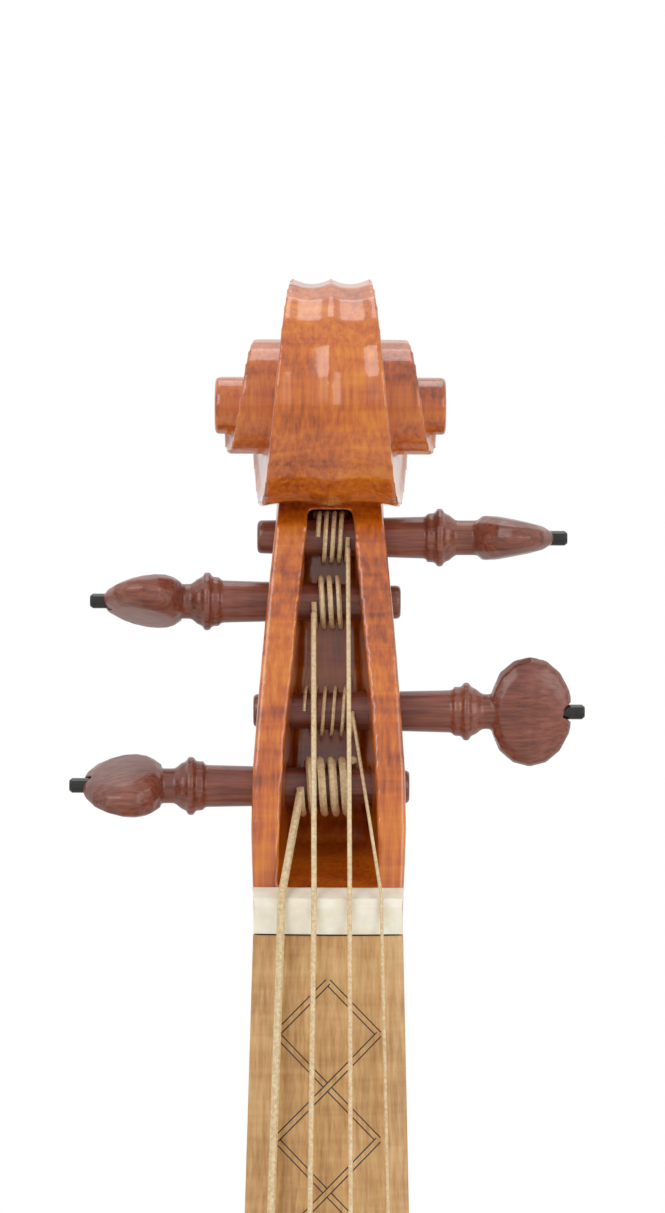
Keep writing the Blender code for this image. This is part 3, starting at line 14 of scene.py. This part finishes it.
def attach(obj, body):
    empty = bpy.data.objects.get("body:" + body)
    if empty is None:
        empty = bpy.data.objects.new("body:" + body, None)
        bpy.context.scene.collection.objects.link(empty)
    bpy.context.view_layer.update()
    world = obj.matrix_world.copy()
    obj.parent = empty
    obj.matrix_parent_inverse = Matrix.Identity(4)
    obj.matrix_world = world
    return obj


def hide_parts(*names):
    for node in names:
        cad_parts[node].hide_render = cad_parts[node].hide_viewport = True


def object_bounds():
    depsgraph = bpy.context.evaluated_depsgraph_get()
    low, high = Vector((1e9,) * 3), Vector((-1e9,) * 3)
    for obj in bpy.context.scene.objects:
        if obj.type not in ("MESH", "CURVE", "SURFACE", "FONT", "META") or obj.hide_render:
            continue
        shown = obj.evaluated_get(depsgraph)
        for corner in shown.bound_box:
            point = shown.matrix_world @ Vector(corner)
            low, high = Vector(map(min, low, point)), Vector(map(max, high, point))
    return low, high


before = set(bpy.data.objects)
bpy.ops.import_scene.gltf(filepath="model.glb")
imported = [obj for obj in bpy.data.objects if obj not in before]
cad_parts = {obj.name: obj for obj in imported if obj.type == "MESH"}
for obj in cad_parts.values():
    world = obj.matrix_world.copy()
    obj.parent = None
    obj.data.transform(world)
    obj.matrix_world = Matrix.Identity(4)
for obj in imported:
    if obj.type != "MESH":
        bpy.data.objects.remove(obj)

CAD_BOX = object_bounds()
LOG = logging.getLogger("violin")
MM = 0.001
NECK_FACE_Y = -0.021

# sRGB's step between its straight and curved parts
SRGB_STEP = 0.04045
SRGB_SLOPE = 12.92
SRGB_OFFSET = 0.055
SRGB_POWER = 2.4

# Wood figure: how far the fibres and the cross bands are drawn out, and the drift of colour over a plank
GRAIN_STRETCH = 0.06
BAND_STRETCH = 0.12
BAND_WANDER = 0.8
CLOUDS_PER_METRE = 55.0
CLOUD_SHARE = 0.3
WOOD_STOPS = (0.36, 0.5, 0.66)
SMOOTH_STOPS = (0.35, 0.65)
COAT_ROUGHNESS = 0.08
GRAIN_DEPTH = 0.1 * MM
MOTTLE_DEPTH = 0.05 * MM
MOTTLE_BUMP = 0.15
SCATTER_DEPTH = 1.5 * MM

MERGE_DISTANCE = 0.01 * MM
RAY_START_Y = -0.3
FLOOR_RADIUS = 3.0
FLOOR_DROP = 0.03


class Finish(Enum):
    """The record's material slots."""

    VARNISHED_MAPLE = "varnished_maple"
    VARNISHED_SPRUCE = "varnished_spruce"
    BOARD_MAPLE = "board_maple"
    BARE_SPRUCE = "bare_spruce"
    BRIDGE_MAPLE = "bridge_maple"
    FRUITWOOD = "fruitwood"
    EBONY = "ebony"
    BONE = "bone"
    GUT = "gut"
    IRON = "iron"


def linear(hex_colour: str) -> tuple[float, float, float, float]:
    """Turn an sRGB hex colour to linear.

    Args:
        hex_colour: Six hex digits.

    Returns:
        Linear red, green, blue and alpha.
    """
    parts = [int(hex_colour[k:k + 2], 16) / 255 for k in (0, 2, 4)]
    curved = [((part + SRGB_OFFSET) / (1 + SRGB_OFFSET)) ** SRGB_POWER for part in parts]
    straight = [part / SRGB_SLOPE for part in parts]
    return (*[s if part <= SRGB_STEP else c for part, s, c in zip(parts, straight, curved)], 1.0)


def add_node(tree: bpy.types.NodeTree, kind: str, links: dict | None = None, **settings) -> bpy.types.Node:
    """Add a node with its settings and links.

    Args:
        tree: The material's node tree.
        kind: The node's type name.
        links: Input name or number to an output socket or a value.
        **settings: Properties set on the node.

    Returns:
        The new node.
    """
    node = tree.nodes.new(kind)
    for name, value in settings.items():
        setattr(node, name, value)
    for name, value in (links or {}).items():
        if isinstance(value, bpy.types.NodeSocket):
            tree.links.new(value, node.inputs[name])
        else:
            node.inputs[name].default_value = value
    return node


@dataclass(frozen=True)
class Wood:
    """A wood surface: fibres, cross bands and drifting colour on Object coordinates, and a gloss.

    figure_mm is the size of the cross bands and grain_mm that of the fibres, in millimetres.
    along is the axis that the fibres follow: 0 across the violin, 2 along it.
    """

    slot: Finish
    dark: str
    middle: str
    light: str
    figure_mm: float
    grain_mm: float
    figure_share: float
    roughness: float
    coat: float
    bump: float
    along: int = 2

    def build(self) -> bpy.types.Material:
        """Build the material.

        Returns:
            The node material.
        """
        material = bpy.data.materials.new(self.slot.value)
        material.use_nodes = True
        tree = material.node_tree
        shader = tree.nodes["Principled BSDF"]
        place = add_node(tree, "ShaderNodeTexCoord").outputs["Object"]
        stretch = [1.0, 1.0, 1.0]
        stretch[self.along] = GRAIN_STRETCH
        grain_space = add_node(tree, "ShaderNodeMapping", {"Vector": place, "Scale": stretch})
        band = [BAND_STRETCH, BAND_STRETCH, BAND_STRETCH]
        band[self.along] = 1.0
        figure_space = add_node(tree, "ShaderNodeMapping", {"Vector": place, "Scale": band})
        grain = add_node(tree, "ShaderNodeTexNoise", {
            "Vector": grain_space.outputs[0], "Scale": 1 / (self.grain_mm * MM), "Detail": 4.0,
            "Roughness": 0.6,
        })
        figure = add_node(tree, "ShaderNodeTexNoise", {
            "Vector": figure_space.outputs[0], "Scale": 1 / (self.figure_mm * MM), "Detail": 3.0,
            "Distortion": BAND_WANDER,
        })
        cloud = add_node(tree, "ShaderNodeTexNoise", {
            "Vector": place, "Scale": CLOUDS_PER_METRE, "Detail": 3.0,
        })
        mixed = add_node(tree, "ShaderNodeMix", {
            "Factor": self.figure_share, 2: grain.outputs["Fac"], 3: figure.outputs["Fac"],
        }, data_type="FLOAT")
        clouded = add_node(tree, "ShaderNodeMix", {
            "Factor": CLOUD_SHARE, 2: mixed.outputs[0], 3: cloud.outputs["Fac"],
        }, data_type="FLOAT")
        ramp = add_node(tree, "ShaderNodeValToRGB", {"Fac": clouded.outputs[0]})
        ramp.color_ramp.elements[0].position = WOOD_STOPS[0]
        ramp.color_ramp.elements[0].color = linear(self.dark)
        ramp.color_ramp.elements[1].position = WOOD_STOPS[2]
        ramp.color_ramp.elements[1].color = linear(self.light)
        ramp.color_ramp.elements.new(WOOD_STOPS[1]).color = linear(self.middle)
        tree.links.new(ramp.outputs["Color"], shader.inputs["Base Color"])
        bump = add_node(tree, "ShaderNodeBump", {
            "Height": grain.outputs["Fac"], "Strength": self.bump, "Distance": GRAIN_DEPTH,
        })
        tree.links.new(bump.outputs["Normal"], shader.inputs["Normal"])
        shader.inputs["Roughness"].default_value = self.roughness
        shader.inputs["Coat Weight"].default_value = self.coat
        shader.inputs["Coat Roughness"].default_value = COAT_ROUGHNESS
        return material


@dataclass(frozen=True)
class Smooth:
    """Bone, ebony, gut or iron: a fine mottled colour with a gloss.

    Mottle is the size of the colour patches in millimetres.
    """

    slot: Finish
    dark: str
    light: str
    mottle_mm: float
    roughness: float
    metallic: float
    subsurface: float

    def build(self) -> bpy.types.Material:
        """Build the material.

        Returns:
            The node material.
        """
        material = bpy.data.materials.new(self.slot.value)
        material.use_nodes = True
        tree = material.node_tree
        shader = tree.nodes["Principled BSDF"]
        place = add_node(tree, "ShaderNodeTexCoord").outputs["Object"]
        mottle = add_node(tree, "ShaderNodeTexNoise", {
            "Vector": place, "Scale": 1 / (self.mottle_mm * MM), "Detail": 5.0,
        })
        ramp = add_node(tree, "ShaderNodeValToRGB", {"Fac": mottle.outputs["Fac"]})
        ramp.color_ramp.elements[0].position = SMOOTH_STOPS[0]
        ramp.color_ramp.elements[0].color = linear(self.dark)
        ramp.color_ramp.elements[1].position = SMOOTH_STOPS[1]
        ramp.color_ramp.elements[1].color = linear(self.light)
        tree.links.new(ramp.outputs["Color"], shader.inputs["Base Color"])
        bump = add_node(tree, "ShaderNodeBump", {
            "Height": mottle.outputs["Fac"], "Strength": MOTTLE_BUMP, "Distance": MOTTLE_DEPTH,
        })
        tree.links.new(bump.outputs["Normal"], shader.inputs["Normal"])
        shader.inputs["Roughness"].default_value = self.roughness
        shader.inputs["Metallic"].default_value = self.metallic
        shader.inputs["Subsurface Weight"].default_value = self.subsurface
        shader.inputs["Subsurface Scale"].default_value = SCATTER_DEPTH
        return material


# Oil varnish over flamed maple: amber with red-brown cross bands, wet gloss
# Fruitwood is oiled and burnished, so it has only a soft sheen
FINISHES = [
    Wood(Finish.VARNISHED_MAPLE, "7E2F08", "C4600E", "E08A1E", 3.4, 0.9, 0.45, 0.28, 0.8, 0.12),
    Wood(Finish.VARNISHED_SPRUCE, "B8640F", "DE8A24", "EFA53C", 9.0, 0.9, 0.15, 0.3, 0.7, 0.25),
    Wood(Finish.BOARD_MAPLE, "A97842", "C7995F", "DDB680", 2.6, 0.7, 0.3, 0.42, 0.15, 0.3),
    Wood(Finish.BARE_SPRUCE, "C9A878", "DCC194", "E9D4AC", 9.0, 0.9, 0.15, 0.6, 0.0, 0.3),
    Wood(Finish.BRIDGE_MAPLE, "B98A55", "CFA36C", "DDB883", 2.0, 0.6, 0.3, 0.5, 0.0, 0.3, 0),
    Wood(Finish.FRUITWOOD, "5A2C20", "7E4434", "9A5E48", 4.0, 0.6, 0.2, 0.36, 0.2, 0.2, 0),
    Smooth(Finish.EBONY, "0E0D0C", "1D1B19", 0.8, 0.28, 0.0, 0.0),
    Smooth(Finish.BONE, "EEE6D0", "F8F3E4", 2.5, 0.32, 0.0, 0.25),
    Smooth(Finish.GUT, "CDB184", "E6D2AA", 0.6, 0.4, 0.0, 0.2),
    Smooth(Finish.IRON, "3A3733", "5A5650", 0.6, 0.5, 1.0, 0.0),
]


def set_material(obj: bpy.types.Object, material: bpy.types.Material) -> None:
    """Give an object one material."""
    obj.data.materials.clear()
    obj.data.materials.append(material)


def add_object(name: str, mesh: bpy.types.Mesh) -> bpy.types.Object:
    """Link a new object with a mesh into the scene."""
    obj = bpy.data.objects.new(name, mesh)
    bpy.context.scene.collection.objects.link(obj)
    return obj


def select_only(obj: bpy.types.Object) -> None:
    """Make one object the only selected and active one."""
    bpy.ops.object.select_all(action="DESELECT")
    obj.select_set(True)
    bpy.context.view_layer.objects.active = obj


@dataclass
class CarvedPiece:
    """A CAD node's shape with its edges rounded as by scraper and varnish.

    voxel is the size of the fine mesh's squares in metres, and rounds how often it is smoothed.
    """

    node: str
    body: str
    finish: Finish
    voxel: float
    rounds: int

    def build(self, materials: dict[Finish, bpy.types.Material]) -> bpy.types.Object:
        """Copy the node's mesh, remesh it finely, round it and dress it.

        Args:
            materials: The finished materials by slot.

        Returns:
            The new piece, which replaces the node.
        """
        source = bpy.data.objects[self.node]
        obj = add_object(self.node + "_carved", source.data.copy())
        shell = bmesh.new()
        shell.from_mesh(obj.data)
        bmesh.ops.remove_doubles(shell, verts=shell.verts, dist=MERGE_DISTANCE)
        shell.to_mesh(obj.data)
        shell.free()
        select_only(obj)
        remesh = obj.modifiers.new("fine", "REMESH")
        remesh.mode = "VOXEL"
        remesh.voxel_size = self.voxel
        bpy.ops.object.modifier_apply(modifier=remesh.name)
        smooth = obj.modifiers.new("round", "SMOOTH")
        smooth.factor = 0.5
        smooth.iterations = self.rounds
        bpy.ops.object.modifier_apply(modifier=smooth.name)
        obj.data.shade_smooth()
        set_material(obj, materials[self.finish])
        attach(obj, self.body)
        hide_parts(self.node)
        LOG.info("%s: %d faces", obj.name, len(obj.data.polygons))
        return obj


@dataclass
class Studio:
    """Camera in front of the head, soft lights, pale floor and white surround."""

    distance: float = 1.1
    frame_height: float = 0.2099
    centre_x: float = 0.00051
    centre_z: float = -0.0154
    roll_degrees: float = 0.25
    sensor: float = 36.0
    world_light: float = 0.55

    def camera(self) -> None:
        """Stand the camera square in front of the head, as in the photograph."""
        data = bpy.data.cameras.new("camera")
        data.sensor_width = self.sensor
        data.lens = self.sensor * self.distance / self.frame_height
        data.clip_end = 20.0
        camera = bpy.data.objects.new("camera", data)
        bpy.context.scene.collection.objects.link(camera)
        upright = Matrix.Rotation(math.pi / 2, 4, "X")
        roll = Matrix.Rotation(math.radians(self.roll_degrees), 4, "Z")
        place = Matrix.Translation((self.centre_x, NECK_FACE_Y - self.distance, self.centre_z))
        camera.matrix_world = place @ upright @ roll
        bpy.context.scene.camera = camera

    def light(self, name: str, place: tuple, size: float, power: float) -> None:
        """Add one soft square lamp aimed at the head.

        Args:
            name: The lamp's name.
            place: Where it stands, in metres.
            size: Its side, in metres.
            power: Its power, in watts.
        """
        data = bpy.data.lights.new(name, "AREA")
        data.size = size
        data.energy = power
        lamp = bpy.data.objects.new(name, data)
        bpy.context.scene.collection.objects.link(lamp)
        lamp.location = place
        aim = Vector((0, 0, self.centre_z)) - Vector(place)
        lamp.rotation_euler = aim.to_track_quat("-Z", "Y").to_euler()

    def surround(self) -> None:
        """White world for the camera and reflections, softer for the light it gives."""
        world = bpy.data.worlds.new("surround")
        bpy.context.scene.world = world
        world.use_nodes = True
        tree = world.node_tree
        path = add_node(tree, "ShaderNodeLightPath")
        seen = add_node(tree, "ShaderNodeMath", {
            0: path.outputs["Is Camera Ray"], 1: path.outputs["Is Glossy Ray"],
        }, operation="MAXIMUM")
        either = add_node(tree, "ShaderNodeMath", {
            0: seen.outputs[0], 1: path.outputs["Is Transmission Ray"],
        }, operation="MAXIMUM")
        strength = add_node(tree, "ShaderNodeMapRange", {
            "Value": either.outputs[0], "To Min": self.world_light, "To Max": 1.0,
        })
        background = tree.nodes["Background"]
        background.inputs["Color"].default_value = (1, 1, 1, 1)
        tree.links.new(strength.outputs[0], background.inputs["Strength"])

    def floor(self) -> None:
        """A pale round floor a little below the hanging violin."""
        bpy.ops.object.select_all(action="DESELECT")
        place = (0, 0, CAD_BOX[0][2] - FLOOR_DROP)
        bpy.ops.mesh.primitive_circle_add(vertices=64, radius=FLOOR_RADIUS, fill_type="NGON", location=place)
        obj = bpy.context.active_object
        obj.name = "floor"
        material = bpy.data.materials.new("floor_pale")
        material.use_nodes = True
        material.node_tree.nodes["Principled BSDF"].inputs["Base Color"].default_value = linear("F2F1EE")
        set_material(obj, material)

    def build(self) -> None:
        """Build the whole studio."""
        self.camera()
        self.surround()
        self.floor()
        self.light("key", (-0.9, -1.1, 0.7), 0.9, 8.0)
        self.light("fill", (1.0, -0.9, 0.2), 0.9, 5.0)
        self.light("top", (0.0, 0.3, 1.2), 0.8, 4.0)
        bpy.context.scene.view_settings.view_transform = "Standard"


def surface_tree(node: str) -> BVHTree:
    """Make a search tree of a CAD node's surface, for laying thin strips on it.

    Args:
        node: The node's name.

    Returns:
        The search tree.
    """
    mesh = bpy.data.objects[node].data
    return BVHTree.FromPolygons([v.co for v in mesh.vertices], [p.vertices for p in mesh.polygons])


@dataclass
class InlayStrip:
    """A straight strip let into the fingerboard, from one (x, z) point to the other, in metres."""

    name: str
    start: tuple[float, float]
    end: tuple[float, float]
    half_width: float
    lift: float
    finish: Finish
    steps: int = 24

    def build(self, tree: BVHTree, materials: dict[Finish, bpy.types.Material]) -> bpy.types.Object:
        """Lay the strip on the board's curved top.

        Args:
            tree: Search tree of the board's surface.
            materials: The finished materials by slot.

        Returns:
            The strip.
        """
        start, end = Vector(self.start), Vector(self.end)
        side = (end - start).normalized().orthogonal() * self.half_width
        points = []
        for k in range(self.steps + 1):
            middle = start.lerp(end, k / self.steps)
            for edge in (middle - side, middle, middle + side):
                hit = tree.ray_cast(Vector((edge.x, RAY_START_Y, edge.y)), Vector((0, 1, 0)))[0]
                y = hit.y if hit else NECK_FACE_Y
                points.append((edge.x, y - self.lift, edge.y))
        faces = []
        for k in range(self.steps):
            for column in (0, 1):
                corner = 3 * k + column
                faces.append((corner, corner + 1, corner + 4, corner + 3))
        mesh = bpy.data.meshes.new(self.name)
        mesh.from_pydata(points, [], faces)
        mesh.shade_smooth()
        obj = add_object(self.name, mesh)
        set_material(obj, materials[self.finish])
        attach(obj, "violin")
        return obj


@dataclass
class Lattice:
    """Crossed inlay lines that form diamonds down the fingerboard."""

    apex_z: float = -0.0800
    half_height: float = 0.0090
    half_width: float = 0.0088
    diamonds: int = 9
    strip_half: float = 0.0006
    edge_half: float = 0.0001
    dark_lift: float = 0.00003
    tan_lift: float = 0.00004
    crossing_lift: float = 0.00002

    def build(self, materials: dict[Finish, bpy.types.Material]) -> None:
        """Lay both families of strips, each a dark band with a tan heart.

        Rows widen from the middle line and narrow back to it in turn. Strips that climb towards the
        treble side lie over the others where they cross.

        Args:
            materials: The finished materials by slot.
        """
        tree = surface_tree("fingerboard")
        heart_half = self.strip_half - 2 * self.edge_half
        for row in range(self.diamonds * 2):
            top = self.apex_z - row * self.half_height
            bottom = top - self.half_height
            widens = row % 2 == 0
            for sign, side in ((-1, "bass"), (1, "treble")):
                corner = sign * self.half_width
                start = (0.0, top) if widens else (corner, top)
                end = (corner, bottom) if widens else (0.0, bottom)
                over = self.crossing_lift if widens == (sign < 0) else 0.0
                for part, half, lift, finish in (
                    ("dark", self.strip_half, self.dark_lift, Finish.EBONY),
                    ("tan", heart_half, self.tan_lift, Finish.BOARD_MAPLE),
                ):
                    name = f"inlay_{row}_{side}_{part}"
                    InlayStrip(name, start, end, half, lift + over, finish).build(tree, materials)


def dress_nodes(materials: dict[Finish, bpy.types.Material]) -> None:
    """Give every CAD node the finish that its material is named after.

    Args:
        materials: The finished materials by slot.
    """
    for name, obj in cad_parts.items():
        for place in obj.material_slots:
            place.material = materials[Finish(place.material.name.split(".")[0])]
        LOG.info("%s: %s", name, [s.material.name for s in obj.material_slots])


CARVED = [CarvedPiece("neck_and_head", "violin", Finish.VARNISHED_MAPLE, 0.00045, 3)]
for letter in "gdae":
    CARVED.append(CarvedPiece(f"peg_{letter}", f"tuning_peg_{letter}", Finish.FRUITWOOD, 0.0003, 6))


def main() -> None:
    """Dress the frame, add the carved head, the inlay and the studio."""
    logging.basicConfig(level=logging.INFO)
    materials = {finish.slot: finish.build() for finish in FINISHES}
    dress_nodes(materials)
    for piece in CARVED:
        piece.build(materials)
    Lattice().build(materials)
    Studio().build()


if __name__ == "__main__":
    main()
